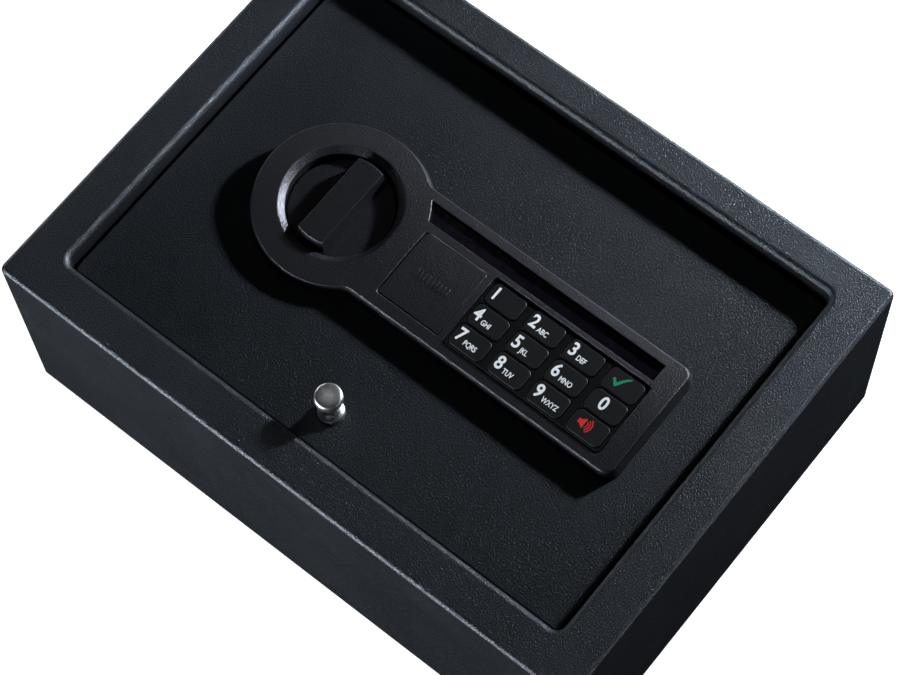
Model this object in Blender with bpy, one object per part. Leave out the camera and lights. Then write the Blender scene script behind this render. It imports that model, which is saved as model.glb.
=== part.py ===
"""Top-opening keypad gun safe, modelled piece by piece in metres.

+X runs along the long side, +Y towards the hinges, +Z up. The origin is the middle of the underside.
At rest the lid is shut and the bolts are drawn back. The knob throws them forward, under the front rim.
"""
import math

import bmesh
import bpy
from mathutils import Matrix, Vector

for leftover in list(bpy.data.objects):
    bpy.data.objects.remove(leftover, do_unlink=True)

MM = 0.001
CLEAR = 0.3 * MM             # gap between two pieces that touch

# steel box
WIDTH, DEPTH, HEIGHT = 300 * MM, 220 * MM, 109 * MM
SHEET = 2 * MM
RIM_SIDE, RIM_FRONT, RIM_REAR = 20 * MM, 20 * MM, 17 * MM
LIP = 12 * MM                # height of the lip that turns down around the opening
CORNER_R, EDGE_R = 3.5 * MM, 2.2 * MM
ROLL_R, OPENING_R = 3 * MM, 4 * MM
OPEN_X = WIDTH / 2 - RIM_SIDE
OPEN_FRONT = RIM_FRONT - DEPTH / 2
OPEN_REAR = DEPTH / 2 - RIM_REAR
LIP_Z = HEIGHT - LIP
FLOOR_BOLT_X, FLOOR_BOLT_Y, FLOOR_BOLT_R = 100 * MM, 65 * MM, 4.5 * MM
MAT_THICK = 4 * MM

# lid plate and its hinge
RECESS = 9 * MM
PLATE = 3 * MM
LID_GAP = 1.8 * MM
LID_TOP = HEIGHT - RECESS
LID_UNDER = LID_TOP - PLATE
LID_X = OPEN_X - LID_GAP
LID_FRONT, LID_REAR = OPEN_FRONT + LID_GAP, OPEN_REAR - LID_GAP
HINGE_Y, HINGE_Z = LID_REAR - 12 * MM, LID_UNDER - 4.5 * MM
PIN_R, PIN_HOLE_R = 2 * MM, 2.3 * MM
BRACKET_X = OPEN_X + SHEET + CLEAR      # inner face of the hinge brackets and stop rails
LEAF_X = 126 * MM                       # outer face of the hinge leaves

# lock housing on the lid
HOUSING_TOP = HEIGHT - 1.5 * MM
KNOB_X, KNOB_Y = -57 * MM, 2 * MM
RING_R = 38 * MM
WELL_R, WELL_MOUTH_R, WELL_BEVEL = 24 * MM, 27 * MM, 4 * MM
ARM_FRONT, ARM_REAR, ARM_END = -26 * MM, 31 * MM, 105.5 * MM
ARM_FILLET, ARM_CORNER = 8 * MM, 5 * MM
DRAFT = 1.5 * MM
STRIP_FRONT, STRIP_REAR, STRIP_END = 17.5 * MM, 26 * MM, 94.5 * MM
STRIP_TOP = HOUSING_TOP - 2 * MM
KEY_PITCH_X, KEY_PITCH_Y = 20.25 * MM, 11.6 * MM
KEY_X0, KEY_Y0 = 25.5 * MM, 8.5 * MM
KEY_W, KEY_D, KEY_R = 16.8 * MM, 10.6 * MM, 2.2 * MM
KEY_TOP, KEY_BASE = HOUSING_TOP - 0.2 * MM, HOUSING_TOP - 2.4 * MM
PAD = (15.8 * MM, 96.2 * MM, -21.2 * MM, 15.2 * MM)
BADGE = (-19.5 * MM, 12.5 * MM, -20 * MM, 13 * MM)
LOCK_X, LOCK_Y = -3.5 * MM, -3.5 * MM
PULL_X, PULL_Y = -2 * MM, -71.5 * MM

# mechanism under the lid
COVER_X0, COVER_X1, COVER_Y0, COVER_Y1 = -110 * MM, 102 * MM, -80 * MM, 55 * MM
COVER_Z, COVER_WALL = 75 * MM, 1.5 * MM
HATCH = (28 * MM, 86 * MM, -18 * MM, COVER_Y1)
BOLT_XS = (-88 * MM, 86 * MM)
BOLT_R, BOLT_Z = 5 * MM, 89 * MM
BOLT_TIP, BOLT_END = -83 * MM, -54.3 * MM
CAM_R, CAM_PIN_R, CAM_THROW_R = 14 * MM, 2 * MM, 9 * MM
CAM_Z0, CAM_Z1 = 82.7 * MM, 84.7 * MM
BAR_Z0, BAR_Z1 = 79.7 * MM, 81.9 * MM
SPINDLE_R = 3.3 * MM
COIL = (-36.5 * MM, -18.5 * MM, -6 * MM, 10 * MM, 85.4 * MM, 96.6 * MM)
PLUNGER_Y, PLUNGER_Z, PLUNGER_R = 2 * MM, 91 * MM, 3 * MM
LEVER_REACH, LEVER_ANGLE = 12 * MM, math.radians(200)
CELL_R, CELL_LENGTH, CELL_PITCH = 7.1 * MM, 50 * MM, 14.8 * MM
CELL_X, CELL_Y, CELL_Z = 57 * MM, 11 * MM, 86.5 * MM
BOX_HALF_X, BOX_HALF_Y, BOX_WALL = 31.5 * MM, 28 * MM, 1.5 * MM

FINE, MEDIUM, COARSE = 64, 32, 20       # sides of large, middling and small round pieces

FINISHES = {
    "powder_coat": ((0.018, 0.019, 0.021), 0.48, 0.0),
    "bare_steel": ((0.46, 0.46, 0.47), 0.34, 1.0),
    "zinc_plate": ((0.62, 0.62, 0.60), 0.30, 1.0),
    "satin_nickel": ((0.70, 0.69, 0.67), 0.20, 1.0),
    "lock_plastic": ((0.014, 0.014, 0.016), 0.42, 0.0),
    "smoked_lens": ((0.010, 0.008, 0.014), 0.08, 0.0),
    "key_plastic": ((0.022, 0.022, 0.024), 0.45, 0.0),
    "silicone": ((0.05, 0.05, 0.05), 0.60, 0.0),
    "circuit_board": ((0.02, 0.16, 0.07), 0.40, 0.0),
    "brass": ((0.72, 0.52, 0.22), 0.28, 1.0),
    "nylon": ((0.80, 0.79, 0.74), 0.50, 0.0),
    "coil_wrap": ((0.10, 0.16, 0.42), 0.45, 0.0),
    "cell_label": ((0.08, 0.10, 0.12), 0.30, 0.2),
    "foam": ((0.045, 0.045, 0.048), 0.95, 0.0),
    "wire": ((0.30, 0.03, 0.03), 0.45, 0.0),
}


# ---------------------------------------------------------------- outlines

def arc(cx, cy, radius, start, end, steps):
    """Points from one angle (degrees) to another, both included."""
    angles = [math.radians(start + (end - start) * i / steps) for i in range(steps + 1)]
    return [(cx + radius * math.cos(a), cy + radius * math.sin(a)) for a in angles]


def circle(cx, cy, radius, sides):
    return arc(cx, cy, radius, 0, 360, sides)[:-1]


def rectangle(x0, x1, y0, y1, radius=0.0, steps=5):
    if radius <= 0:
        return [(x0, y0), (x1, y0), (x1, y1), (x0, y1)]
    points = arc(x0 + radius, y0 + radius, radius, 180, 270, steps)
    points += arc(x1 - radius, y0 + radius, radius, 270, 360, steps)
    points += arc(x1 - radius, y1 - radius, radius, 0, 90, steps)
    points += arc(x0 + radius, y1 - radius, radius, 90, 180, steps)
    return points


def keyhole(grow):
    """The housing's outline: a ring that flows into a straight arm, grown or shrunk by an offset."""
    ring, fillet, corner = RING_R + grow, ARM_FILLET - grow, ARM_CORNER + grow
    front, rear, end = ARM_FRONT - grow, ARM_REAR + grow, ARM_END + grow
    reach = ring + fillet
    rise, fall = rear + fillet - KNOB_Y, KNOB_Y - front + fillet
    upper = (KNOB_X + math.sqrt(reach ** 2 - rise ** 2), rear + fillet)
    lower = (KNOB_X + math.sqrt(reach ** 2 - fall ** 2), front - fillet)
    up = math.degrees(math.asin(rise / reach))
    down = math.degrees(math.asin(fall / reach))
    points = arc(end - corner, front + corner, corner, -90, 0, 5)
    points += arc(end - corner, rear - corner, corner, 0, 90, 5)
    points += arc(*upper, fillet, -90, up - 180, 4)
    points += arc(KNOB_X, KNOB_Y, ring, up, 360 - down, 44)[1:-1]
    points += arc(*lower, fillet, 180 - down, 90, 4)
    return points


def strip_outline(shrink):
    """The smoked strip: straight, with its left end following the ring."""
    front, rear = STRIP_FRONT + shrink, STRIP_REAR - shrink
    ring = RING_R + shrink
    low = math.degrees(math.asin((front - KNOB_Y) / ring))
    high = math.degrees(math.asin((rear - KNOB_Y) / ring))
    points = arc(KNOB_X, KNOB_Y, ring, high, low, 5)
    points += [(STRIP_END - shrink, front), (STRIP_END - shrink, rear)]
    return points


def grip_outline(half_width, radius):
    """A bar whose two ends follow the circle that it turns in."""
    lean = math.degrees(math.asin(half_width / radius))
    points = arc(KNOB_X, KNOB_Y, radius, 90 - lean, 90 + lean, 8)
    points += arc(KNOB_X, KNOB_Y, radius, 270 - lean, 270 + lean, 8)
    return points


def link_outline(x0, y0, r0, x1, y1, r1):
    """Two round ends of different size joined by straight sides."""
    heading = math.degrees(math.atan2(y1 - y0, x1 - x0))
    points = arc(x1, y1, r1, heading - 90, heading + 90, 8)
    points += arc(x0, y0, r0, heading + 90, heading + 270, 12)
    return points


# ---------------------------------------------------------------- solids

def add_loops(bm, loops, ring=False):
    """Skin closed loops of points one after another; cap both ends, or join the last to the first."""
    rows = [[bm.verts.new(p) for p in loop] for loop in loops]
    pairs = list(zip(rows, rows[1:]))
    if ring:
        pairs.append((rows[-1], rows[0]))
    else:
        bm.faces.new(rows[0])
        bm.faces.new(rows[-1])
    for low, high in pairs:
        for i in range(len(low)):
            j = (i + 1) % len(low)
            bm.faces.new((low[i], low[j], high[j], high[i]))


def add_prism(bm, outline, low, high, axis="Z"):
    """Extrude an outline along X (given as y, z), Y (given as x, z) or Z (given as x, y)."""
    place = {
        "X": lambda u, v, w: (w, u, v),
        "Y": lambda u, v, w: (u, w, v),
        "Z": lambda u, v, w: (u, v, w),
    }[axis]
    add_loops(bm, [[place(u, v, w) for u, v in outline] for w in (low, high)])


def add_box(bm, x0, x1, y0, y1, z0, z1):
    add_prism(bm, rectangle(x0, x1, y0, y1), z0, z1)


def add_lathe(bm, profile, centre, sides, axis="Z"):
    """Turn a profile of (radius, height) about an axis through centre, from one point on it to another."""
    turn = {"X": Matrix.Rotation(math.pi / 2, 3, "Y"), "Z": Matrix.Identity(3),
            "Y": Matrix.Rotation(-math.pi / 2, 3, "X")}[axis]
    rows = []
    for radius, height in profile:
        ring = circle(0, 0, radius, sides) if radius > 0 else [(0, 0)]
        rows.append([bm.verts.new(turn @ Vector((x, y, height)) + Vector(centre)) for x, y in ring])
    for low, high in zip(rows, rows[1:]):
        for i in range(sides):
            j = (i + 1) % sides
            corners = [low[i % len(low)], low[j % len(low)], high[j % len(high)], high[i % len(high)]]
            bm.faces.new(list(dict.fromkeys(corners)))


def add_tube(bm, outer, inner, low, high, centre, sides):
    """A plain ring or bush, bored right through along Z."""
    x, y = centre
    sizes = ((outer, low), (outer, high), (inner, high), (inner, low))
    add_loops(bm, [[(px, py, z) for px, py in circle(x, y, r, sides)] for r, z in sizes], ring=True)


def finish_material(name):
    if name in bpy.data.materials:
        return bpy.data.materials[name]
    colour, roughness, metallic = FINISHES[name]
    made = bpy.data.materials.new(name)
    made.use_nodes = True
    shader = made.node_tree.nodes["Principled BSDF"]
    shader.inputs["Base Color"].default_value = (*colour, 1)
    shader.inputs["Roughness"].default_value = roughness
    shader.inputs["Metallic"].default_value = metallic
    made.diffuse_color = (*colour, 1)
    return made


def make(name, finish, shape, origin=(0, 0, 0)):
    """Make one named piece from a function that fills a bmesh in world coordinates."""
    bm = bmesh.new()
    shape(bm)
    bmesh.ops.recalc_face_normals(bm, faces=bm.faces)
    bmesh.ops.translate(bm, verts=bm.verts, vec=-Vector(origin))
    mesh = bpy.data.meshes.new(name)
    bm.to_mesh(mesh)
    bm.free()
    mesh.shade_smooth()
    mesh.set_sharp_from_angle(angle=math.radians(30))
    piece = bpy.data.objects.new(name, mesh)
    piece.location = origin
    if finish:
        mesh.materials.append(finish_material(finish))
    bpy.context.scene.collection.objects.link(piece)
    return piece


def carve(piece, shape, operation="DIFFERENCE"):
    """Cut a shape out of a piece, or join it on."""
    tool = make(piece.name + "_tool", None, shape)
    tool.hide_render = True
    tool.display_type = "WIRE"
    change = piece.modifiers.new(operation.title(), "BOOLEAN")
    change.operation = operation
    change.object = tool
    change.solver = "EXACT"


def cylinder(centre, radius, low, high, sides=MEDIUM, axis="Z"):
    """A shape function for a plain round bar or hole."""
    profile = ((0, low), (radius, low), (radius, high), (0, high))
    return lambda bm: add_lathe(bm, profile, centre, sides, axis)


def mirrored(outline, side):
    """Flip an outline's first coordinate to the left (-1) or leave it (+1)."""
    return [(u * side, v) for u, v in outline]


# ---------------------------------------------------------------- steel box

def body_shell():
    """Walls, rim and the lip around the opening, folded from one sheet."""
    loops = []

    def ring(side, front, rear, z, radius):
        outline = rectangle(side - WIDTH / 2, WIDTH / 2 - side, front - DEPTH / 2, DEPTH / 2 - rear,
                            radius, 6)
        loops.append([(x, y, z) for x, y in outline])

    ring(0, 0, 0, 0, CORNER_R)
    for step in range(5):
        a = math.pi / 2 * step / 4
        inset = EDGE_R * (1 - math.cos(a))
        ring(inset, inset, inset, HEIGHT - EDGE_R * (1 - math.sin(a)), CORNER_R - inset)
    for step in range(6):
        a = math.pi / 2 * step / 5
        out = ROLL_R * (1 - math.sin(a))
        z = HEIGHT - ROLL_R * (1 - math.cos(a))
        ring(RIM_SIDE - out, RIM_FRONT - out, RIM_REAR - out, z, OPENING_R + out)
    ring(RIM_SIDE, RIM_FRONT, RIM_REAR, LIP_Z, OPENING_R)
    for z in (LIP_Z, HEIGHT - SHEET):
        ring(RIM_SIDE - SHEET, RIM_FRONT - SHEET, RIM_REAR - SHEET, z, OPENING_R + SHEET)
    for z in (HEIGHT - SHEET, 0):
        ring(SHEET, SHEET, SHEET, z, CORNER_R - SHEET)
    make("body_shell", "powder_coat", lambda bm: add_loops(bm, loops, ring=True))


def base_plate():
    half_x, half_y = WIDTH / 2 - SHEET - CLEAR, DEPTH / 2 - SHEET - CLEAR
    outline = rectangle(-half_x, half_x, -half_y, half_y, 1.2 * MM, 3)
    plate = make("base_plate", "powder_coat", lambda bm: add_prism(bm, outline, 0, SHEET))

    def holes(bm):
        for x in (-FLOOR_BOLT_X, FLOOR_BOLT_X):
            for y in (-FLOOR_BOLT_Y, FLOOR_BOLT_Y):
                cylinder((x, y, 0), FLOOR_BOLT_R, -MM, SHEET + MM, COARSE)(bm)

    carve(plate, holes)


def floor_mat():
    half_x, half_y = WIDTH / 2 - SHEET - 1.5 * MM, DEPTH / 2 - SHEET - 1.5 * MM
    outline = rectangle(-half_x, half_x, -half_y, half_y, 2 * MM, 3)
    low = SHEET + CLEAR
    make("floor_mat", "foam", lambda bm: add_prism(bm, outline, low, low + MAT_THICK))


def stop_rails():
    """Angle strips behind the lip: the lid rests on them, and the front one keeps the bolts."""
    top, ledge, under = HEIGHT - SHEET - CLEAR, LIP_Z - CLEAR, LIP_Z - CLEAR - SHEET
    reach = OPEN_X - 6 * MM
    section = [(BRACKET_X + SHEET, under), (reach, under), (reach, ledge), (BRACKET_X, ledge),
               (BRACKET_X, top), (BRACKET_X + SHEET, top)]
    for name, side in (("stop_rail_left", -1), ("stop_rail_right", 1)):
        outline = mirrored(section, side)
        make(name, "powder_coat", lambda bm, o=outline: add_prism(bm, o, -82 * MM, 62 * MM, "Y"))
    front = OPEN_FRONT - SHEET - CLEAR
    tip = OPEN_FRONT + 6 * MM
    section = [(front - SHEET, under), (tip, under), (tip, ledge), (front, ledge), (front, top),
               (front - SHEET, top)]
    make("front_keeper", "powder_coat", lambda bm: add_prism(bm, section, -122 * MM, 122 * MM, "X"))


def hinges():
    """A bracket and a headed pin on each side of the box, and a leaf under the lid that turns on the pin."""
    top = HEIGHT - SHEET - CLEAR
    wall = WIDTH / 2 - SHEET - CLEAR
    bracket_out = BRACKET_X + 2.3 * MM
    bracket = [(BRACKET_X, 87 * MM), (bracket_out, 87 * MM), (bracket_out, top - SHEET), (wall, top - SHEET),
               (wall, top), (BRACKET_X, top)]
    leaf_in, leaf_top = LEAF_X - 2.5 * MM, LID_UNDER - CLEAR
    leaf = [(LEAF_X, 87.5 * MM), (LEAF_X, leaf_top), (LEAF_X - 21 * MM, leaf_top),
            (LEAF_X - 21 * MM, leaf_top - 1.7 * MM), (leaf_in, leaf_top - 1.7 * MM), (leaf_in, 87.5 * MM)]
    head, start, end = bracket_out + 2.8 * MM, bracket_out + CLEAR, LEAF_X - 5 * MM
    pin = ((0, head), (4 * MM, head), (4 * MM, start), (PIN_R, start), (PIN_R, end + 0.5 * MM),
           (PIN_R - 0.5 * MM, end), (0, end))
    axis = (0, HINGE_Y, HINGE_Z)
    for name, side in (("left", -1), ("right", 1)):
        body = make("hinge_bracket_" + name, "powder_coat",
                    lambda bm, s=side: add_prism(bm, mirrored(bracket, s), 70 * MM, 90 * MM, "Y"))
        leaf_piece = make("hinge_leaf_" + name, "bare_steel",
                          lambda bm, s=side: add_prism(bm, mirrored(leaf, s), 68 * MM, 86.5 * MM, "Y"), axis)
        profile = [(r, h * side) for r, h in pin]
        make("hinge_pin_" + name, "zinc_plate", lambda bm, p=profile: add_lathe(bm, p, axis, COARSE, "X"))
        low, high = sorted((side * (LEAF_X - 4 * MM), side * (bracket_out + MM)))
        for piece in (body, leaf_piece):
            carve(piece, cylinder(axis, PIN_HOLE_R, low, high, COARSE, "X"))


# ---------------------------------------------------------------- lid and its outer hardware

def door_panel():
    """The plate lid, with softened upper edges and the holes that the lock and the knobs need."""
    loops = []
    for inset, z in ((0.3 * MM, LID_UNDER), (0, LID_UNDER + 0.3 * MM), (0, LID_TOP - 0.7 * MM),
                     (0.2 * MM, LID_TOP - 0.2 * MM), (0.7 * MM, LID_TOP)):
        outline = rectangle(inset - LID_X, LID_X - inset, LID_FRONT + inset, LID_REAR - inset,
                            2.5 * MM - inset, 5)
        loops.append([(x, y, z) for x, y in outline])
    door = make("door_panel", "powder_coat", lambda bm: add_loops(bm, loops), (0, HINGE_Y, HINGE_Z))

    def holes(bm):
        spots = ((KNOB_X, KNOB_Y, 6.6 * MM), (LOCK_X, LOCK_Y, 8.5 * MM), (PULL_X, PULL_Y, 2.4 * MM),
                 (20 * MM, -3 * MM, 3.5 * MM))
        for x, y, radius in spots:
            cylinder((x, y, 0), radius, LID_UNDER - MM, LID_TOP + MM, COARSE)(bm)

    carve(door, holes)


def lock_housing():
    """The keyhole-shaped moulding, with the knob's well, the badge pocket, the key window and the strip."""
    layers = ((LID_TOP + CLEAR, DRAFT), (HOUSING_TOP - 1.2 * MM, 0.3 * MM), (HOUSING_TOP - 0.6 * MM, 0),
              (HOUSING_TOP - 0.2 * MM, -0.4 * MM), (HOUSING_TOP, -MM))
    loops = [[(x, y, z) for x, y in keyhole(grow)] for z, grow in layers]
    housing = make("lock_housing", "lock_plastic", lambda bm: add_loops(bm, loops))
    under, over = LID_TOP - MM, HOUSING_TOP + MM
    slope = (WELL_MOUTH_R - WELL_R) / WELL_BEVEL
    well = ((0, under), (WELL_R, under), (WELL_R, HOUSING_TOP - WELL_BEVEL),
            (WELL_MOUTH_R + slope * MM, over), (0, over))
    pocket = rectangle(BADGE[0] - CLEAR, BADGE[1] + CLEAR, BADGE[2] - CLEAR, BADGE[3] + CLEAR, 0.8 * MM, 3)

    def cuts(bm):
        add_lathe(bm, well, (KNOB_X, KNOB_Y, 0), FINE)
        add_prism(bm, rectangle(*PAD, 2 * MM, 4), under, over)
        add_prism(bm, strip_outline(0), STRIP_TOP - 1.7 * MM, over)

    carve(housing, cuts)
    carve(housing, lambda bm: add_prism(bm, pocket, HOUSING_TOP - 4 * MM, over))
    carve(housing, cylinder((LOCK_X, LOCK_Y, 0), 8.4 * MM, under, HOUSING_TOP - 3 * MM))


def window_strip():
    outline = strip_outline(CLEAR)
    make("window_strip", "smoked_lens", lambda bm: add_prism(bm, outline, STRIP_TOP - 1.4 * MM, STRIP_TOP))


def badge_cover():
    """The plain tile that hides the override lock and pulls straight off."""
    layers = ((HOUSING_TOP - 2 * MM, 0), (HOUSING_TOP - 0.3 * MM, 0), (HOUSING_TOP, 0.3 * MM))
    x0, x1, y0, y1 = BADGE
    loops = []
    for z, inset in layers:
        outline = rectangle(x0 + inset, x1 - inset, y0 + inset, y1 - inset, 0.8 * MM - inset / 2, 3)
        loops.append([(x, y, z) for x, y in outline])
    middle = ((x0 + x1) / 2, (y0 + y1) / 2, HOUSING_TOP)
    make("badge_cover", "lock_plastic", lambda bm: add_loops(bm, loops), middle)


def key_centres():
    """Each key's name and centre, row by row from the rear."""
    names = ("1", "2", "3", "enter", "4", "5", "6", "0", "7", "8", "9", "sound")
    for index, name in enumerate(names):
        row, column = divmod(index, 4)
        yield name, KEY_X0 + column * KEY_PITCH_X, KEY_Y0 - row * KEY_PITCH_Y


def keypad():
    """Twelve key caps in a bezel, over a silicone mat and a circuit board."""
    bezel_top = HOUSING_TOP - 0.5 * MM
    inner = (PAD[0] + CLEAR, PAD[1] - CLEAR, PAD[2] + CLEAR, PAD[3] - CLEAR)
    bezel = make("keypad_bezel", "key_plastic",
                 lambda bm: add_prism(bm, rectangle(*inner, 1.7 * MM, 4), bezel_top - 1.2 * MM, bezel_top))

    def windows(bm):
        half_w, half_d = KEY_W / 2 + CLEAR, KEY_D / 2 + CLEAR
        for _, x, y in key_centres():
            outline = rectangle(x - half_w, x + half_w, y - half_d, y + half_d, KEY_R + CLEAR, 3)
            add_prism(bm, outline, bezel_top - 2 * MM, bezel_top + MM)

    carve(bezel, windows)
    for name, x, y in key_centres():
        loops = []
        for z, inset in ((KEY_BASE, 0), (KEY_TOP - 0.4 * MM, 0), (KEY_TOP - 0.1 * MM, 0.1 * MM),
                         (KEY_TOP, 0.4 * MM)):
            half_w, half_d = KEY_W / 2 - inset, KEY_D / 2 - inset
            outline = rectangle(x - half_w, x + half_w, y - half_d, y + half_d, KEY_R - inset, 3)
            loops.append([(px, py, z) for px, py in outline])
        make("key_" + name, "key_plastic", lambda bm, k=loops: add_loops(bm, k), (x, y, KEY_TOP))
    mat_top = KEY_BASE - 1 * MM
    make("keypad_mat", "silicone",
         lambda bm: add_prism(bm, rectangle(*inner, 1.7 * MM, 3), mat_top - 0.7 * MM, mat_top))
    board_top = mat_top - MM
    make("keypad_board", "circuit_board",
         lambda bm: add_prism(bm, rectangle(*inner, 1.7 * MM, 3), board_top - 1.5 * MM, board_top))


def pull_knob():
    """A turned knob on the lid, held from below by a screw."""
    foot = LID_TOP + CLEAR
    outer = ((0, 18.3), (4, 17.9), (5.6, 17.3), (6, 16.7), (6, 14.2), (5.3, 13.2), (3.6, 11.6), (3, 9.5),
             (3, 6), (3.6, 3.6), (5.2, 2.3), (5.8, 1.6), (5.8, 0))
    profile = [(r * MM, foot + h * MM) for r, h in outer]
    profile += [(2.3 * MM, foot), (2.3 * MM, foot + 9.3 * MM), (0, foot + 9.3 * MM)]
    make("pull_knob", "satin_nickel", lambda bm: add_lathe(bm, profile, (PULL_X, PULL_Y, 0), MEDIUM))
    under = LID_UNDER - CLEAR
    screw = ((0, under - 2.2 * MM), (2.6 * MM, under - 2.2 * MM), (4 * MM, under - 0.8 * MM),
             (4 * MM, under), (2 * MM, under), (2 * MM, LID_TOP + 8 * MM), (0, LID_TOP + 8 * MM))
    make("pull_knob_screw", "zinc_plate", lambda bm: add_lathe(bm, screw, (PULL_X, PULL_Y, 0), COARSE))


# ---------------------------------------------------------------- knob, cam and bolts

def knob():
    """The knob's disc and grip bar, its spindle, the bush in the lid, and the cam at the spindle's foot."""
    axis = (KNOB_X, KNOB_Y, 0)
    base, face = LID_TOP + 0.5 * MM, LID_TOP + 1.8 * MM
    top = HEIGHT + MM
    disc_r, grip_r, grip_half = 22.8 * MM, 21.3 * MM, 6.7 * MM
    layers = ((face - 0.6 * MM, 0.2), (top - 0.7 * MM, 0), (top - 0.2 * MM, -0.2), (top, -0.7))
    loops = []
    for z, grow in layers:
        outline = grip_outline(grip_half + grow * MM, grip_r + grow * MM)
        loops.append([(x, y, z) for x, y in outline])
    disc = ((0, base), (disc_r, base), (disc_r, face - 0.3 * MM), (disc_r - 0.3 * MM, face), (0, face))
    grip = make("knob", "lock_plastic", lambda bm: add_lathe(bm, disc, axis, FINE), axis)
    carve(grip, lambda bm: add_loops(bm, loops), "UNION")
    carve(grip, cylinder(axis, SPINDLE_R + CLEAR, base - MM, LID_TOP + 6.3 * MM, COARSE))
    foot = CAM_Z0 - 0.1 * MM
    shaft = ((0, LID_TOP + 6 * MM), (SPINDLE_R, LID_TOP + 6 * MM), (SPINDLE_R, foot), (1.8 * MM, foot),
             (1.8 * MM, foot + 6 * MM), (0, foot + 6 * MM))
    make("knob_spindle", "zinc_plate", lambda bm: add_lathe(bm, shaft, axis, COARSE), axis)
    screw_top = foot - CLEAR
    screw = ((0, screw_top - 1.6 * MM), (3.2 * MM, screw_top - 1.6 * MM), (3.2 * MM, screw_top),
             (1.5 * MM, screw_top), (1.5 * MM, foot + 5 * MM), (0, foot + 5 * MM))
    make("cam_screw", "zinc_plate", lambda bm: add_lathe(bm, screw, axis, COARSE), axis)
    bore, barrel, flange = SPINDLE_R + CLEAR, 6.2 * MM, 8 * MM
    under = LID_UNDER - CLEAR
    bush = ((bore, under - 2 * MM), (flange, under - 2 * MM), (flange, under), (barrel, under),
            (barrel, LID_TOP), (bore, LID_TOP))
    rows = [[(x, y, z) for x, y in circle(KNOB_X, KNOB_Y, r, COARSE)] for r, z in bush]
    make("spindle_bush", "nylon", lambda bm: add_loops(bm, rows, ring=True))


def drive_cam():
    """A disc with a notch for each end of its turn, and a pin that works the bolt bar's fork."""
    axis = (KNOB_X, KNOB_Y, 0)
    cam = make("drive_cam", "zinc_plate",
               lambda bm: add_tube(bm, CAM_R, SPINDLE_R + CLEAR, CAM_Z0, CAM_Z1, axis[:2], FINE), axis)
    angle = math.radians(135)
    pin = (KNOB_X + CAM_THROW_R * math.cos(angle), KNOB_Y + CAM_THROW_R * math.sin(angle), 0)
    carve(cam, cylinder(pin, CAM_PIN_R, BAR_Z0 - MM, CAM_Z0 + MM, COARSE), "UNION")
    depth, half = CAM_R - 4.7 * MM, 2.5 * MM

    def notches(bm):
        low, high = CAM_Z0 - MM, CAM_Z1 + MM
        add_box(bm, KNOB_X + depth, KNOB_X + CAM_R + MM, KNOB_Y - half, KNOB_Y + half, low, high)
        add_box(bm, KNOB_X - half, KNOB_X + half, KNOB_Y - CAM_R - MM, KNOB_Y - depth, low, high)

    carve(cam, notches)


def bolt_bar():
    """The sliding bar with a fork at the cam and an upright tab behind each round bolt."""
    arm_left, arm_right = KNOB_X - 17 * MM, KNOB_X - SPINDLE_R - 0.4 * MM
    bar = make("bolt_bar", "zinc_plate",
               lambda bm: add_box(bm, -96 * MM, 94 * MM, -64 * MM, -52 * MM, BAR_Z0, BAR_Z1))
    carve(bar, lambda bm: add_box(bm, arm_left, arm_right, -53 * MM, 17 * MM, BAR_Z0, BAR_Z1), "UNION")

    def tabs(bm):
        for x in BOLT_XS:
            add_box(bm, x - 6 * MM, x + 6 * MM, -54 * MM, -52 * MM, BAR_Z1 - MM, 93.5 * MM)

    carve(bar, tabs, "UNION")
    fork_y = KNOB_Y + CAM_THROW_R * math.sin(math.radians(135))
    half = CAM_PIN_R + 0.6 * MM
    carve(bar, lambda bm: add_box(bm, KNOB_X - 11.6 * MM, arm_right + MM, fork_y - half, fork_y + half,
                                  BAR_Z0 - MM, BAR_Z1 + MM))
    profile = ((0, BOLT_TIP), (BOLT_R - MM, BOLT_TIP), (BOLT_R, BOLT_TIP + MM), (BOLT_R, BOLT_END),
               (0, BOLT_END))
    for name, x in zip(("left", "right"), BOLT_XS):
        make("bolt_" + name, "zinc_plate",
             lambda bm, c=x: add_lathe(bm, profile, (c, 0, BOLT_Z), MEDIUM, "Y"))
        bolt_guide(name, x)


def bolt_guide(name, x):
    """An angle bracket under the lid with a hole that the bolt slides in."""
    front, top = -76 * MM, LID_UNDER - CLEAR
    section = [(front, 82.3 * MM), (front + 2.5 * MM, 82.3 * MM), (front + 2.5 * MM, top - 1.7 * MM),
               (front + 10 * MM, top - 1.7 * MM), (front + 10 * MM, top), (front, top)]
    guide = make("bolt_guide_" + name, "bare_steel",
                 lambda bm: add_prism(bm, section, x - 10 * MM, x + 10 * MM, "X"))
    carve(guide, cylinder((x, 0, BOLT_Z), BOLT_R + 0.4 * MM, front - MM, front + 4 * MM, MEDIUM, "Y"))


# ---------------------------------------------------------------- solenoid and override lock

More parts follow.
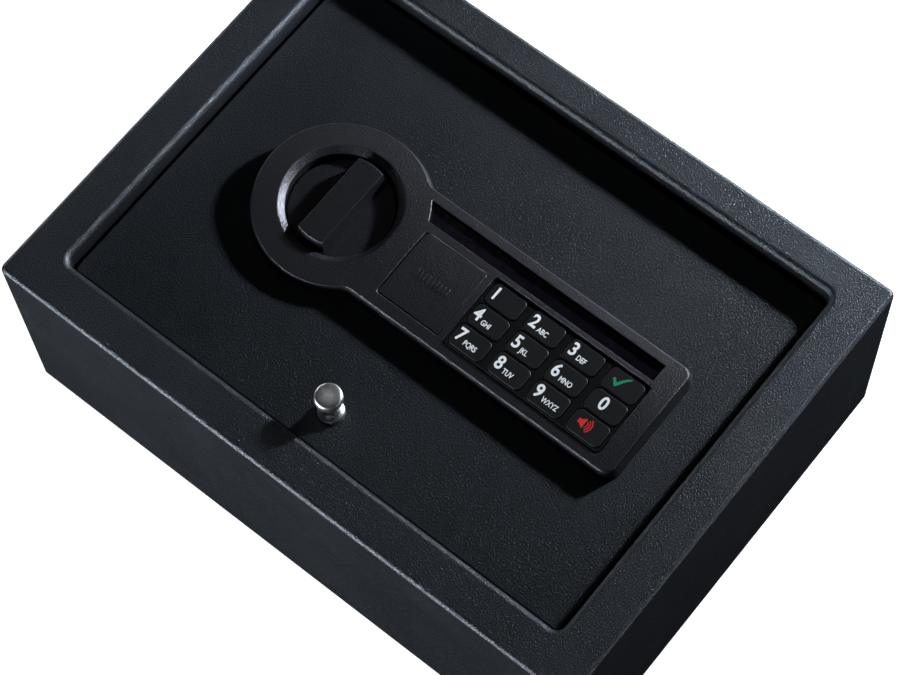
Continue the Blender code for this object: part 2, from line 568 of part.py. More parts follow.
def solenoid():
    """The coil with its plunger, and the latch plate that drops into the cam's notches."""
    x0, x1, y0, y1, z0, z1 = COIL
    coil = make("solenoid", "coil_wrap", lambda bm: add_box(bm, *COIL))
    line = (0, PLUNGER_Y, PLUNGER_Z)
    carve(coil, cylinder(line, PLUNGER_R + CLEAR, x0 - MM, x0 + 15.5 * MM, COARSE, "X"))
    leg0, leg1 = x0 - 3 * MM, x0 - 1.5 * MM
    neck, head = 0.9 * MM, 2.2 * MM
    profile = ((0, leg0 - 1.8 * MM), (head, leg0 - 1.8 * MM), (head, leg0 - CLEAR), (neck, leg0 - CLEAR),
               (neck, leg1 + CLEAR), (PLUNGER_R, leg1 + CLEAR), (PLUNGER_R, x0 + 14.5 * MM),
               (0, x0 + 14.5 * MM))
    make("solenoid_plunger", "bare_steel", lambda bm: add_lathe(bm, profile, line, COARSE, "X"))
    plate_z0, plate_z1 = CAM_Z0, CAM_Z1
    tip = KNOB_X + CAM_R + 0.6 * MM
    latch = make("latch_plate", "zinc_plate",
                 lambda bm: add_box(bm, tip, leg1 + MM, KNOB_Y - 2 * MM, KNOB_Y + 2 * MM,
                                    plate_z0, plate_z1))
    tab = -3.1 * MM
    for block in ((leg1, tab + 1.5 * MM, 3 * MM, 9 * MM, plate_z0, plate_z1),
                  (tab, tab + 1.5 * MM, 4.5 * MM, 8.8 * MM, plate_z1 - MM, 86.7 * MM),
                  (leg0, leg1, KNOB_Y - 1.7 * MM, KNOB_Y + 1.7 * MM, plate_z1 - MM, 95 * MM)):
        carve(latch, lambda bm: add_box(bm, *block), "UNION")
    carve(latch, cylinder(line, neck + CLEAR, leg0 - MM, leg1 + MM, COARSE, "X"))


def override_lock():
    """The keyed cylinder under the badge: a threaded body, its nut, the plug and the lever on its tail."""
    axis = (LOCK_X, LOCK_Y, 0)
    face, foot = HOUSING_TOP - 2.8 * MM, 87 * MM
    bore, barrel, flange = 5 * MM, 8 * MM, 9.5 * MM
    shoulder = HOUSING_TOP - 3.8 * MM
    section = ((bore, foot), (barrel, foot), (barrel, shoulder), (flange, shoulder), (flange, face),
               (bore, face))
    rows = [[(x, y, z) for x, y in circle(LOCK_X, LOCK_Y, r, MEDIUM)] for r, z in section]
    make("override_lock_body", "satin_nickel", lambda bm: add_loops(bm, rows, ring=True))
    under = LID_UNDER - CLEAR
    hexagon = circle(LOCK_X, LOCK_Y, 11 * MM, 6)
    nut = make("override_lock_nut", "brass", lambda bm: add_prism(bm, hexagon, under - 2.7 * MM, under))
    carve(nut, cylinder(axis, barrel + CLEAR, under - 4 * MM, under + MM))
    plug_r, tail_r = bore - CLEAR, 3 * MM
    shape = ((0, face), (plug_r, face), (plug_r, foot - 0.1 * MM), (tail_r, foot - 0.1 * MM),
             (tail_r, 84.4 * MM), (0, 84.4 * MM))
    plug = make("override_lock_plug", "brass", lambda bm: add_lathe(bm, shape, axis, MEDIUM), axis)
    carve(plug, lambda bm: add_box(bm, LOCK_X - 0.7 * MM, LOCK_X + 0.7 * MM,
                                   LOCK_Y - 3.2 * MM, LOCK_Y + 3.2 * MM, face - 10 * MM, face + MM))
    tip_x = LOCK_X + LEVER_REACH * math.cos(LEVER_ANGLE)
    tip_y = LOCK_Y + LEVER_REACH * math.sin(LEVER_ANGLE)
    outline = link_outline(LOCK_X, LOCK_Y, 4.5 * MM, tip_x, tip_y, 2 * MM)
    lever = make("override_lever", "zinc_plate", lambda bm: add_prism(bm, outline, 85 * MM, 86.6 * MM), axis)
    carve(lever, cylinder(axis, tail_r + CLEAR, 84 * MM, 88 * MM))


# ---------------------------------------------------------------- electronics, batteries and cover

def control_board():
    """The main circuit board with its chips, connector and round buzzer."""
    low, high = 94.4 * MM, 96 * MM
    board = make("control_board", "circuit_board",
                 lambda bm: add_box(bm, -38 * MM, 15 * MM, 18 * MM, 48 * MM, low, high))

    def parts(bm):
        add_box(bm, -24 * MM, -10 * MM, 30 * MM, 40 * MM, low - 1.8 * MM, low + 0.5 * MM)
        add_box(bm, -34 * MM, -28 * MM, 22 * MM, 34 * MM, low - 5 * MM, low + 0.5 * MM)
        cylinder((5 * MM, 38 * MM, 0), 6 * MM, low - 6 * MM, low + 0.5 * MM, COARSE)(bm)

    carve(board, parts, "UNION")


def batteries():
    """Four AA cells side by side in an open-bottomed holder."""
    holder = make("battery_box", "lock_plastic",
                  lambda bm: add_box(bm, CELL_X - BOX_HALF_X, CELL_X + BOX_HALF_X, CELL_Y - BOX_HALF_Y,
                                     CELL_Y + BOX_HALF_Y, 77.5 * MM, 95 * MM))
    inner_x, inner_y = BOX_HALF_X - BOX_WALL, BOX_HALF_Y - BOX_WALL
    carve(holder, lambda bm: add_box(bm, CELL_X - inner_x, CELL_X + inner_x,
                                     CELL_Y - inner_y, CELL_Y + inner_y, 76 * MM, 93.9 * MM))
    for index in range(4):
        x = CELL_X + (index - 1.5) * CELL_PITCH
        way = 1 if index % 2 else -1
        back, front = -CELL_LENGTH / 2 * way, (CELL_LENGTH / 2 - MM) * way
        profile = ((0, back), (CELL_R, back), (CELL_R, front), (2.7 * MM, front),
                   (2.7 * MM, front + MM * way), (0, front + MM * way))
        make(f"battery_{index + 1}", "cell_label",
             lambda bm, c=x, p=profile: add_lathe(bm, p, (c, CELL_Y, CELL_Z), MEDIUM, "Y"))


def mechanism_cover():
    """A shallow tray under the lid with side flanges, a slot for each bolt and an open bay for the hatch."""
    top = LID_UNDER - CLEAR
    outline = rectangle(COVER_X0, COVER_X1, COVER_Y0, COVER_Y1, 3 * MM, 4)
    tray = make("mechanism_cover", "powder_coat", lambda bm: add_prism(bm, outline, COVER_Z, top))
    flange = 8 * MM
    carve(tray, lambda bm: add_box(bm, COVER_X0 - flange, COVER_X1 + flange, -70 * MM, 45 * MM,
                                   top - COVER_WALL, top), "UNION")
    wall = COVER_WALL
    hollow = rectangle(COVER_X0 + wall, COVER_X1 - wall, COVER_Y0 + wall, COVER_Y1 - wall, 2 * MM, 4)
    carve(tray, lambda bm: add_prism(bm, hollow, COVER_Z + wall, top + MM))

    def openings(bm):
        for x in BOLT_XS:
            half = BOLT_R + 0.8 * MM
            add_box(bm, x - half, x + half, COVER_Y0 - MM, COVER_Y0 + wall + MM, BOLT_Z - half, top + MM)
        x0, x1, y0, y1 = HATCH
        add_box(bm, x0 - CLEAR, x1 + CLEAR, y0 - CLEAR, y1 + MM, COVER_Z - MM, COVER_Z + wall + 0.6 * MM)

    carve(tray, openings)


def battery_hatch():
    """The flat hatch that closes the battery bay and slides out to the rear."""
    x0, x1, y0, y1 = HATCH
    hatch = make("battery_hatch", "lock_plastic",
                 lambda bm: add_box(bm, x0, x1, y0, y1, COVER_Z, COVER_Z + COVER_WALL))

    def grips(bm):
        for index in range(4):
            y = y1 - (8 + 3 * index) * MM
            add_box(bm, CELL_X - 12 * MM, CELL_X + 12 * MM, y - 0.6 * MM, y + 0.6 * MM,
                    COVER_Z - 0.6 * MM, COVER_Z + 0.5 * MM)

    carve(hatch, grips, "UNION")


def keypad_cable():
    """The lead from the keypad's board, down through the lid, to the main board."""
    curve = bpy.data.curves.new("keypad_cable", "CURVE")
    curve.dimensions = "3D"
    curve.bevel_depth = 1.1 * MM
    curve.bevel_resolution = 2
    curve.use_fill_caps = True
    route = ((20, -3, 101.0), (20, -3, 98), (20, -2, 95), (19, 2, 92.5), (17, 8, 91.5), (14, 14, 91.2),
             (11, 19, 91.2), (9, 23, 91.4), (8.2, 24.8, 92.2), (8, 25, 93.8))
    spline = curve.splines.new("POLY")
    spline.points.add(len(route) - 1)
    for point, place in zip(spline.points, route):
        point.co = (*(value * MM for value in place), 1)
    curve.materials.append(finish_material("wire"))
    bpy.context.scene.collection.objects.link(bpy.data.objects.new("keypad_cable", curve))


def main():
    body_shell()
    base_plate()
    floor_mat()
    stop_rails()
    hinges()
    door_panel()
    lock_housing()
    window_strip()
    badge_cover()
    keypad()
    pull_knob()
    knob()
    drive_cam()
    bolt_bar()
    solenoid()
    override_lock()
    control_board()
    batteries()
    mechanism_cover()
    battery_hatch()
    keypad_cable()


main()
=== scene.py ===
"""The looks of a top-opening keypad gun safe: pieces, materials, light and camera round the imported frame.

+X runs along the long side, +Y towards the hinges, +Z up. Pieces are built where the frame's own nodes lie.
"""
import math
from collections import namedtuple

import bmesh
import bpy
from mathutils import Matrix, Vector


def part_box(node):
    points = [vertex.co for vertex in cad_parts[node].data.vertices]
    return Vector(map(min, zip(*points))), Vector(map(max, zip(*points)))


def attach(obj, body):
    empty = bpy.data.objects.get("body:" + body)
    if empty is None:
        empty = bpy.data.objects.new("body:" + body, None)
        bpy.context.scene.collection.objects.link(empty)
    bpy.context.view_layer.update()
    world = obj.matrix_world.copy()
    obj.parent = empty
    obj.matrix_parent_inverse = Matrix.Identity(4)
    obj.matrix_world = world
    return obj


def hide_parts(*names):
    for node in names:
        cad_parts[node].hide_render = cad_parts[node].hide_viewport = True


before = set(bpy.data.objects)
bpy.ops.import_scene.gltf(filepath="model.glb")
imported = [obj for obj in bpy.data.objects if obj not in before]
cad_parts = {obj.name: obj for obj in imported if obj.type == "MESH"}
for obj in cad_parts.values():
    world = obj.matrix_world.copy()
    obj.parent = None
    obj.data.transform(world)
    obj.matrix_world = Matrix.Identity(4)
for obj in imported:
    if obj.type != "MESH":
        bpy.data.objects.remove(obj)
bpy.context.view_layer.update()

scene = bpy.context.scene
MM = 0.001
Box = namedtuple("Box", "x0 x1 y0 y1 z0 z1")


def place(node):
    """A node's box at rest, in the order x0 x1 y0 y1 z0 z1."""
    low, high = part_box(node)
    return Box(low[0], high[0], low[1], high[1], low[2], high[2])


SHELL, LID, HOUSING = place("body_shell"), place("door_panel"), place("lock_housing")
KNOB, BADGE, STRIP = place("knob"), place("badge_cover"), place("window_strip")
BEZEL, MAT, PULL = place("keypad_bezel"), place("floor_mat"), place("pull_knob")
COVER = place("mechanism_cover")
KNOB_X, KNOB_Y = (KNOB.x0 + KNOB.x1) / 2, (KNOB.y0 + KNOB.y1) / 2
TOP = HOUSING.z1

# folds of the steel box
SHEET = 2 * MM
RIM_SIDE, RIM_FRONT, RIM_REAR = 20 * MM, 20 * MM, 17 * MM
LIP = 12 * MM
CORNER_R, EDGE_R, ROLL_R, OPENING_R = 3.5 * MM, 2.2 * MM, 3 * MM, 4 * MM
# housing outline
RING_R, DRAFT = 38 * MM, 1.5 * MM
ARM_FRONT, ARM_REAR, ARM_END = -26 * MM, 31 * MM, HOUSING.x1 - DRAFT
ARM_FILLET, ARM_CORNER = 8 * MM, 5 * MM
WELL_R, WELL_MOUTH_R, WELL_BEVEL = 24 * MM, 27 * MM, 2.3 * MM
# the housing's slightly crowned top: a barrel along the arm, a little flatter round the ring and lifted at
# the arm's end
CROWN_LINE, CROWN_SPAN = KNOB_Y + 3 * MM, 28.5 * MM
CROWN_RISE, CROWN_FALL, CROWN_ON_RING, DOME_FALL = 0.8 * MM, 2.1 * MM, 0.88, 0.1 * MM
END_EASE, END_LIFT = 14 * MM, 0.2 * MM
GRIP_HALF, GRIP_DROP = 6.7 * MM, 0.6 * MM
CLEAR = 0.3 * MM
BEZEL_CORNER, BADGE_CORNER, KEY_WINDOW_CORNER, KEY_CORNER = 1.7 * MM, 0.8 * MM, 2.2 * MM, 2.4 * MM
KEYS = ("1", "2", "3", "enter", "4", "5", "6", "0", "7", "8", "9", "sound")
# printed legends: sizes, and offsets from each key's middle
DIGIT_HIGH, DIGIT_NARROW, DIGIT_WEIGHT, DIGIT_X, DIGIT_Y = 6.2 * MM, 0.86, 0.2 * MM, -5.2 * MM, 0.3 * MM
ZERO_X = -1.4 * MM
GROUP_HIGH, GROUP_NARROW, GROUP_WEIGHT, GROUP_X, GROUP_Y = 2.55 * MM, 0.76, 0.07 * MM, -2.3 * MM, -2.7 * MM
INK_HALF, INK_LIFT = 0.03 * MM, 0.02 * MM
CAPITAL_SHARE = 0.73        # a capital's height over the font's size
LETTERS = {"2": "ABC", "3": "DEF", "4": "GHI", "5": "JKL", "6": "MNO", "7": "PQRS", "8": "TUV", "9": "WXYZ"}


# ---------------------------------------------------------------- outlines

def arc(cx, cy, radius, start, end, steps):
    """Points from one angle (degrees) to another, both included."""
    angles = [math.radians(start + (end - start) * i / steps) for i in range(steps + 1)]
    return [(cx + radius * math.cos(a), cy + radius * math.sin(a)) for a in angles]


def circle(cx, cy, radius, sides):
    return arc(cx, cy, radius, 0, 360, sides)[:-1]


def rectangle(x0, x1, y0, y1, radius=0.0, steps=8):
    if radius <= 0:
        return [(x0, y0), (x1, y0), (x1, y1), (x0, y1)]
    points = []
    for cx, cy, start in ((x0 + radius, y0 + radius, 180), (x1 - radius, y0 + radius, 270),
                          (x1 - radius, y1 - radius, 0), (x0 + radius, y1 - radius, 90)):
        points += arc(cx, cy, radius, start, start + 90, steps)
    return points


def keyhole(grow):
    """The housing's outline: a ring that flows into a straight arm, grown or shrunk by an offset."""
    ring, fillet, corner = RING_R + grow, ARM_FILLET - grow, ARM_CORNER + grow
    front, rear, end = ARM_FRONT - grow, ARM_REAR + grow, ARM_END + grow
    reach = ring + fillet
    rise, fall = rear + fillet - KNOB_Y, KNOB_Y - front + fillet
    upper = (KNOB_X + math.sqrt(reach ** 2 - rise ** 2), rear + fillet)
    lower = (KNOB_X + math.sqrt(reach ** 2 - fall ** 2), front - fillet)
    up = math.degrees(math.asin(rise / reach))
    down = math.degrees(math.asin(fall / reach))
    points = arc(end - corner, front + corner, corner, -90, 0, 12)
    points += arc(end - corner, rear - corner, corner, 0, 90, 12)
    points += arc(*upper, fillet, -90, up - 180, 8)
    points += arc(KNOB_X, KNOB_Y, ring, up, 360 - down, 110)[1:-1]
    points += arc(*lower, fillet, 180 - down, 90, 8)
    return points


# ---------------------------------------------------------------- mesh helpers

def add_loops(bm, loops, ring=False):
    """Skin closed loops of points one after another; cap both ends, or join the last to the first."""
    rows = [[bm.verts.new(p) for p in loop] for loop in loops]
    pairs = list(zip(rows, rows[1:]))
    if ring:
        pairs.append((rows[-1], rows[0]))
    else:
        bm.faces.new(rows[0])
        bm.faces.new(rows[-1])
    for low, high in pairs:
        for i in range(len(low)):
            j = (i + 1) % len(low)
            bm.faces.new((low[i], low[j], high[j], high[i]))


def add_stack(bm, outline, layers):
    """Skin one outline at several (z, grow) layers, bottom to top."""
    add_loops(bm, [[(x, y, z) for x, y in outline(grow)] for z, grow in layers])


def add_lathe(bm, profile, centre, sides, axis="Z"):
    """Turn a profile of (radius, height) about an axis through centre, from one point on it to another."""
    turn = {"X": Matrix.Rotation(math.pi / 2, 3, "Y"), "Z": Matrix.Identity(3),
            "Y": Matrix.Rotation(-math.pi / 2, 3, "X")}[axis]
    rows = []
    for radius, height in profile:
        ring = circle(0, 0, radius, sides) if radius > 0 else [(0, 0)]
        rows.append([bm.verts.new(turn @ Vector((x, y, height)) + Vector(centre)) for x, y in ring])
    for low, high in zip(rows, rows[1:]):
        for i in range(sides):
            j = (i + 1) % sides
            corners = [low[i % len(low)], low[j % len(low)], high[j % len(high)], high[i % len(high)]]
            bm.faces.new(list(dict.fromkeys(corners)))


def round_over(top, radius, steps=5, grow=0.0):
    """(z, grow) layers of an outer edge rounded off at the top."""
    angles = [math.pi / 2 * i / steps for i in range(steps + 1)]
    return [(top - radius * (1 - math.sin(a)), grow - radius * (1 - math.cos(a))) for a in angles]


def flare(top, radius, steps=5, above=1 * MM):
    """(z, grow) layers of a cutter whose mouth leaves a rounded edge round the hole."""
    angles = [math.pi / 2 * i / steps for i in range(steps + 1)]
    rows = [(top - radius * (1 - math.sin(a)), radius * (1 - math.cos(a))) for a in angles]
    return rows + [(top + above, radius)]


def new_mesh(name, build):
    bm = bmesh.new()
    build(bm)
    bmesh.ops.recalc_face_normals(bm, faces=bm.faces)
    mesh = bpy.data.meshes.new(name)
    bm.to_mesh(mesh)
    bm.free()
    made = bpy.data.objects.new(name, mesh)
    scene.collection.objects.link(made)
    return made


def combine(piece, build, operation="DIFFERENCE"):
    """Cut a shape out of a piece, or join it on, and keep the result as the piece's own mesh."""
    tool = new_mesh(piece.name + "_tool", build)
    change = piece.modifiers.new("change", "BOOLEAN")
    change.operation, change.object, change.solver = operation, tool, "EXACT"
    result = bpy.data.meshes.new_from_object(piece.evaluated_get(bpy.context.evaluated_depsgraph_get()))
    piece.modifiers.clear()
    piece.data = result
    bpy.data.objects.remove(tool, do_unlink=True)


def finish_piece(piece, body, look, stands_for=(), crease=35):
    """Smooth a piece's rounds, give it its material and seat it on its body."""
    piece.data.shade_smooth()
    piece.data.set_sharp_from_angle(angle=math.radians(crease))
    even = piece.modifiers.new("even normals", "WEIGHTED_NORMAL")
    even.keep_sharp = True
    even.weight = 80
    piece.data.materials.clear()
    piece.data.materials.append(look)
    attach(piece, body)
    if stands_for:
        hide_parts(*stands_for)
    return piece


# ---------------------------------------------------------------- materials

class Look:
    """A node material under construction, round one Principled shader."""

    def __init__(self, name, roughness=0.5, metallic=0.0, **fixed):
        self.material = bpy.data.materials.new(name)
        self.material.use_nodes = True
        self.tree = self.material.node_tree
        self.shader = self.tree.nodes["Principled BSDF"]
        self.shader.inputs["Roughness"].default_value = roughness
        self.shader.inputs["Metallic"].default_value = metallic
        for socket, value in fixed.items():
            self.shader.inputs[socket.replace("_", " ")].default_value = value
        self.coords = self.add("ShaderNodeTexCoord").outputs["Object"]

    def add(self, kind, inputs=None, **settings):
        made = self.tree.nodes.new(kind)
        for key, value in settings.items():
            setattr(made, key, value)
        for key, value in (inputs or {}).items():
            if isinstance(value, bpy.types.NodeSocket):
                self.tree.links.new(value, made.inputs[key])
            else:
                made.inputs[key].default_value = value
        return made

    def noise(self, scale, detail=2.0, roughness=0.5, distortion=0.0, coords=None):
        settings = {"Vector": coords or self.coords, "Scale": scale, "Detail": detail, "Roughness": roughness,
                    "Distortion": distortion}
        return self.add("ShaderNodeTexNoise", settings).outputs["Fac"]

    def stretched(self, x, y, z):
        """Object coordinates scaled along each axis, for brushed and layered textures."""
        made = self.add("ShaderNodeMapping", {"Vector": self.coords, "Scale": (x, y, z)})
        return made.outputs["Vector"]

    def ramp(self, value, *stops):
        """Map a value through (position, colour or grey) stops."""
        made = self.add("ShaderNodeValToRGB", {"Fac": value})
        ramp = made.color_ramp
        while len(ramp.elements) < len(stops):
            ramp.elements.new(1.0)
        for element, (position, colour) in zip(ramp.elements, stops):
            element.position = position
            element.color = (colour,) * 3 + (1,) if isinstance(colour, (int, float)) else (*colour, 1)
        return made.outputs["Color"]

    def span(self, value, low, high, start=0.3, end=0.7):
        """Map a texture's middle range to low..high."""
        made = self.add("ShaderNodeMapRange", {"Value": value, "From Min": start, "From Max": end,
                                               "To Min": low, "To Max": high})
        return made.outputs["Result"]

    def math(self, operation, a, b):
        return self.add("ShaderNodeMath", {0: a, 1: b}, operation=operation).outputs[0]

    def bump(self, height, distance, strength=1.0, under=None):
        inputs = {"Height": height, "Distance": distance, "Strength": strength}
        if under:
            inputs["Normal"] = under
        return self.add("ShaderNodeBump", inputs).outputs["Normal"]

    def set(self, socket, value):
        self.tree.links.new(value, self.shader.inputs[socket])


def powder_coat(name, roughness, gloss):
    """Black textured powder coat: worm-like orange peel with a cool satin sheen."""
    look = Look(name)
    look.shader.inputs["Specular IOR Level"].default_value = gloss
    look.shader.inputs["Specular Tint"].default_value = (0.84, 0.92, 1.0, 1)
    worms = look.noise(1550, 2.0, 0.6, 0.3)
    flecks = look.noise(1750, 1.0, 0.5)
    fine = look.noise(3400, 2.0)
    cloud = look.noise(26, 3.0)
    look.set("Base Color", look.ramp(flecks, (0.36, (0.0012, 0.0013, 0.0016)),
                                     (0.56, (0.0050, 0.0053, 0.0066)), (0.72, (0.0150, 0.0160, 0.0190))))
    look.set("Roughness", look.math("ADD", look.span(worms, roughness - 0.05, roughness + 0.05),
                                    look.span(cloud, -0.02, 0.02)))
    grain = look.bump(worms, 0.32 * MM)
    look.set("Normal", look.bump(fine, 0.05 * MM, 0.7, grain))
    return look.material


def lock_plastic(name="lock_plastic", roughness=0.39, depth=0.22, gloss=0.8, light=0.0075):
    """Spark-textured black plastic. The pale end of its grain is light; the knob's copy sets it paler, as
    painted light where the knob sits in shade.
    """
    look = Look(name)
    look.shader.inputs["Specular IOR Level"].default_value = gloss
    look.shader.inputs["Specular Tint"].default_value = (0.96, 0.93, 1.0, 1)
    grain = look.noise(1800, 1.0, 0.5)
    fine = look.noise(4200, 2.0)
    look.set("Base Color", look.ramp(look.noise(1900, 1.0), (0.36, (0.0012, 0.0012, 0.0015)),
                                     (0.66, (light, light, light * 1.15))))
    look.set("Roughness", look.span(grain, roughness - 0.05, roughness + 0.06))
    look.set("Normal", look.bump(fine, 0.02 * MM, 0.8, look.bump(grain, depth * MM)))
    return look.material


def key_plastic(name="key_plastic", gloss=0.32):
    """Smoother satin plastic of the keys and their panel."""
    look = Look(name)
    grain = look.noise(2300, 2.0)
    look.set("Base Color", look.ramp(look.noise(90, 3.0), (0.3, (0.0026, 0.0026, 0.0029)),
                                     (0.7, (0.0040, 0.0040, 0.0044))))
    look.shader.inputs["Specular IOR Level"].default_value = gloss
    look.set("Roughness", look.span(grain, 0.42, 0.52))
    look.set("Normal", look.bump(grain, 0.012 * MM))
    return look.material


def smoked_lens():
    look = Look("smoked_lens", roughness=0.1)
    look.shader.inputs["Coat Weight"].default_value = 0.6
    look.shader.inputs["Coat Roughness"].default_value = 0.05
    haze = look.noise(160, 4.0)
    look.set("Base Color", look.ramp(haze, (0.3, (0.0020, 0.0015, 0.0035)), (0.7, (0.0040, 0.0035, 0.0060))))
    look.set("Roughness", look.span(look.noise(420, 4.0), 0.10, 0.20))
    return look.material


def turned_metal(name, colour, centre, roughness):
    """Turned and polished metal: faint rings round an upright axis."""
    look = Look(name, metallic=1.0)
    parts = look.add("ShaderNodeSeparateXYZ", {"Vector": look.coords}).outputs
    dx = look.math("SUBTRACT", parts["X"], centre[0])
    dy = look.math("SUBTRACT", parts["Y"], centre[1])
    squares = look.math("ADD", look.math("MULTIPLY", dx, dx), look.math("MULTIPLY", dy, dy))
    radius = look.math("SQRT", squares, 0.0)
    rings = look.add("ShaderNodeCombineXYZ", {"X": radius, "Y": parts["Z"]}).outputs["Vector"]
    lines = look.noise(5200, 2.0, coords=rings)
    wear = look.noise(420, 3.0)
    look.set("Base Color", look.ramp(wear, (0.3, tuple(c * 0.86 for c in colour)), (0.7, colour)))
    look.set("Roughness", look.math("ADD", look.span(lines, roughness * 0.8, roughness * 1.25),
                                    look.span(wear, -0.02, 0.03)))
    look.set("Normal", look.bump(lines, 0.004 * MM))
    return look.material


def plated(name, colour, roughness=0.32):
    """Zinc or raw sheet steel: spangle, faint drawing lines and small stains."""
    look = Look(name, metallic=1.0)
    lines = look.noise(900, 3.0, coords=look.stretched(0.08, 1.0, 1.0))
    stain = look.noise(180, 4.0)
    look.set("Base Color", look.ramp(stain, (0.25, tuple(c * 0.72 for c in colour)), (0.75, colour)))
    look.set("Roughness", look.math("ADD", look.span(lines, roughness - 0.06, roughness + 0.08),
                                    look.span(stain, 0.05, -0.03)))
    look.set("Normal", look.bump(lines, 0.01 * MM))
    return look.material


def felt():
    """Charcoal felt over foam: fine tangled fibres and a soft nap."""
    look = Look("felt", roughness=0.95)
    look.shader.inputs["Sheen Weight"].default_value = 0.35
    look.shader.inputs["Sheen Roughness"].default_value = 0.5
    fibres = look.noise(1500, 5.0, 0.7, 1.2)
    tufts = look.noise(260, 4.0, 0.6)
    look.set("Base Color", look.ramp(fibres, (0.3, (0.022, 0.023, 0.026)), (0.7, (0.060, 0.062, 0.068))))
    look.set("Normal", look.bump(tufts, 0.25 * MM, 0.6, look.bump(fibres, 0.12 * MM)))
    return look.material


def moulded(name, dark, light, roughness, grain=900, depth=0.02):
    """A plain moulded or dipped finish with a fine grain."""
    look = Look(name)
    pattern = look.noise(grain, 3.0)
    look.set("Base Color", look.ramp(look.noise(150, 4.0), (0.3, dark), (0.7, light)))
    look.set("Roughness", look.span(pattern, roughness - 0.05, roughness + 0.07))
    look.set("Normal", look.bump(pattern, depth * MM))
    return look.material


def ink(name, colour):
    """Pad-printed legend ink, slightly mottled."""
    look = Look(name)
    mottle = look.noise(2600, 3.0)
    look.set("Base Color", look.ramp(mottle, (0.25, tuple(c * 0.86 for c in colour)), (0.7, colour)))
    look.set("Roughness", look.span(mottle, 0.45, 0.6))
    look.set("Normal", look.bump(mottle, 0.006 * MM))
    return look.material


def floor_look():
    """Pale studio floor, lit evenly."""
    look = Look("studio_floor", roughness=0.9)
    look.set("Base Color", look.ramp(look.noise(3, 3.0), (0.3, 0.55), (0.7, 0.57)))
    look.shader.inputs["Emission Color"].default_value = (1, 1, 1, 1)
    look.shader.inputs["Emission Strength"].default_value = 0.96
    return look.material


COAT, LID_COAT = powder_coat("powder_coat", 0.39, 0.8), powder_coat("powder_coat_lid", 0.41, 0.5)
PLASTIC, KEY, PANEL = lock_plastic(), key_plastic(), key_plastic("key_panel", 0.12)
# The knob's copy has a paler grain tone (0.010 against 0.0075): painted light on the knob's disc, which lies
# in the shadow of its bar and well.
KNOB_PLASTIC_PAINTED_LIGHT = lock_plastic("knob_plastic_painted_light", 0.42, 0.06, 0.4, 0.010)
LENS, FELT = smoked_lens(), felt()
PULL_CENTRE = ((PULL.x0 + PULL.x1) / 2, (PULL.y0 + PULL.y1) / 2, 0)
PULL_METAL = turned_metal("satin_nickel", (0.74, 0.73, 0.71), PULL_CENTRE, 0.33)
ZINC = plated("zinc_plate", (0.66, 0.66, 0.64))
STEEL = plated("bare_steel", (0.50, 0.50, 0.51), 0.36)
BRASS = plated("brass", (0.72, 0.50, 0.20), 0.28)
NYLON = moulded("nylon", (0.66, 0.65, 0.60), (0.78, 0.77, 0.72), 0.5)
RUBBER = moulded("silicone", (0.030, 0.030, 0.031), (0.045, 0.045, 0.047), 0.62)
BOARD = moulded("circuit_board", (0.006, 0.070, 0.030), (0.012, 0.110, 0.048), 0.38, 500, 0.01)
WRAP = moulded("coil_wrap", (0.050, 0.090, 0.300), (0.070, 0.120, 0.380), 0.42, 420)
CELL = moulded("cell_label", (0.020, 0.024, 0.030), (0.034, 0.038, 0.046), 0.28, 300, 0.006)
WIRE = moulded("wire", (0.240, 0.020, 0.018), (0.320, 0.030, 0.026), 0.42, 700)
WHITE_INK = ink("white_ink", (0.90, 0.90, 0.89))
GREEN_INK = ink("green_ink", (0.005, 0.240, 0.095))
RED_INK = ink("red_ink", (0.700, 0.018, 0.012))
SLOT_LOOKS = {"powder_coat": COAT, "bare_steel": STEEL, "zinc_plate": ZINC, "satin_nickel": PULL_METAL,
              "lock_plastic": PLASTIC, "smoked_lens": LENS, "key_plastic": KEY, "silicone": RUBBER,
              "circuit_board": BOARD, "brass": BRASS, "nylon": NYLON, "coil_wrap": WRAP, "cell_label": CELL,
              "foam": FELT, "wire": WIRE}


# ---------------------------------------------------------------- steel box

def steel_box():
    """Walls, rim and the lip round the opening, folded from one sheet."""
    loops = []

    def ring(side, front, rear, z, radius):
        outline = rectangle(SHELL.x0 + side, SHELL.x1 - side, SHELL.y0 + front, SHELL.y1 - rear, radius, 10)
        loops.append([(x, y, z) for x, y in outline])

    ring(0, 0, 0, SHELL.z0, CORNER_R)
    for z, grow in round_over(SHELL.z1, EDGE_R, 8):
        ring(-grow, -grow, -grow, z, CORNER_R + grow)
    for step in range(9):
        a = math.pi / 2 * step / 8
        out = ROLL_R * (1 - math.sin(a))
        z = SHELL.z1 - ROLL_R * (1 - math.cos(a))
        ring(RIM_SIDE - out, RIM_FRONT - out, RIM_REAR - out, z, OPENING_R + out)
    lip_z = SHELL.z1 - LIP
    for z, inset in ((lip_z + 0.4 * MM, 0), (lip_z, 0.4 * MM), (lip_z, 1.6 * MM), (lip_z + 0.4 * MM, SHEET),
                     (SHELL.z1 - SHEET, SHEET)):
        ring(RIM_SIDE - inset, RIM_FRONT - inset, RIM_REAR - inset, z, OPENING_R + inset)
    for z in (SHELL.z1 - SHEET, SHELL.z0):
        ring(SHEET, SHEET, SHEET, z, CORNER_R - SHEET)
    box = new_mesh("steel_box", lambda bm: add_loops(bm, loops, ring=True))
    finish_piece(box, "box", COAT, ("body_shell",))


